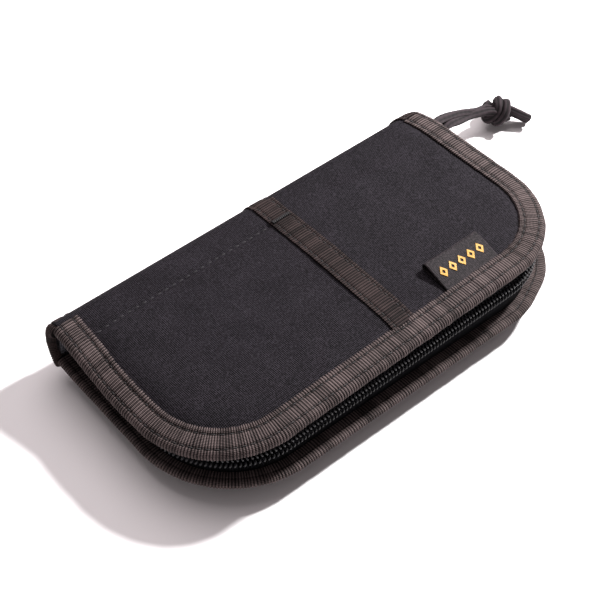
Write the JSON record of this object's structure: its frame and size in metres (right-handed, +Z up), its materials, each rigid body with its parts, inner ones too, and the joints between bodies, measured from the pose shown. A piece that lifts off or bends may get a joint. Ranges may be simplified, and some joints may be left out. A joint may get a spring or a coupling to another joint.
{
  "type": "zippered pouch",
  "caption": "Zip-around fabric pouch with bound edges, a soft spine, a slip pocket on its front cover and a knotted cord pull.",
  "frame": {"origin": "centre of the box under the closed pouch, without its cord, at the level of the surface it lies on", "axes": "+X along the length towards the end where the closed slider parks, +Y towards the spine, +Z up out of the front cover"},
  "size_m": [0.2608, 0.1058, 0.0391],
  "materials": {
    "canvas": "matte fine woven canvas, near-black charcoal",
    "lining": "plain woven nylon lining, dark grey",
    "foam": "closed-cell foam padding",
    "board": "thin stiffener sheet",
    "binding": "ribbed grosgrain tape, brown-grey",
    "zipper_tape": "black woven zipper tape",
    "coil": "black moulded nylon coil",
    "metal": "black painted die-cast metal, satin",
    "cord": "braided cord, charcoal brown",
    "label": "woven label tape, black, with a plain yellow woven motif",
    "thread": "polyester sewing thread, dark"
  },
  "bodies": {
    "bottom_cover": {"bottom_shell": "canvas", "bottom_board": "board", "bottom_foam": "foam", "bottom_padding": "foam", "bottom_lining": "lining", "bottom_binding": "binding", "inner_pocket": "lining", "inner_pocket_binding": "binding", "lower_zipper_tape": "zipper_tape", "lower_coil": "coil", "bottom_stop": "metal"},
    "spine": {"spine_shell": "canvas", "spine_padding": "foam", "spine_lining": "lining", "spine_binding_left": "binding", "spine_binding_right": "binding", "spine_band": "binding"},
    "top_cover": {"top_shell": "canvas", "top_board": "board", "top_foam": "foam", "top_lining": "lining", "top_binding": "binding", "pocket_panel": "canvas", "pocket_band": "binding", "bartack": "thread", "pocket_seam_thread": "thread", "upper_zipper_tape": "zipper_tape", "upper_coil": "coil", "upper_coil_stops": "metal"},
    "label": {"label_tab": "label"},
    "slider": {"slider_body": "metal", "slider_bridge": "metal", "pull_cord_upper": "cord", "pull_cord_lower": "cord", "pull_cord_knot": "cord", "cord_tail_upper": "cord", "cord_tail_lower": "cord"}
  },
  "joints": [
    {"name": "spine_hinge", "type": "hinge", "parent": "bottom_cover", "child": "spine", "pos_m": [0, 0.0432, 0.007], "axis": [-1, 0, 0], "range_deg": [0, 90]},
    {"name": "top_hinge", "type": "hinge", "parent": "spine", "child": "top_cover", "pos_m": [-0.004, 0.0432, 0.0339], "axis": [-0.9985, 0, -0.0547], "range_deg": [0, 90]},
    {"name": "label_hinge", "type": "hinge", "parent": "top_cover", "child": "label", "pos_m": [-0.00398, -0.0366, 0.0335], "axis": [0.9985, 0, 0.0547], "range_deg": [0, 100]},
    {"name": "zip_slide", "type": "slide", "parent": "bottom_cover", "child": "slider", "axis": [0, -1, 0], "range_m": [0, 0.04]}
  ],
  "couplings": [
    {"joint": "top_hinge", "follows": "spine_hinge", "ratio": 1}
  ]
}
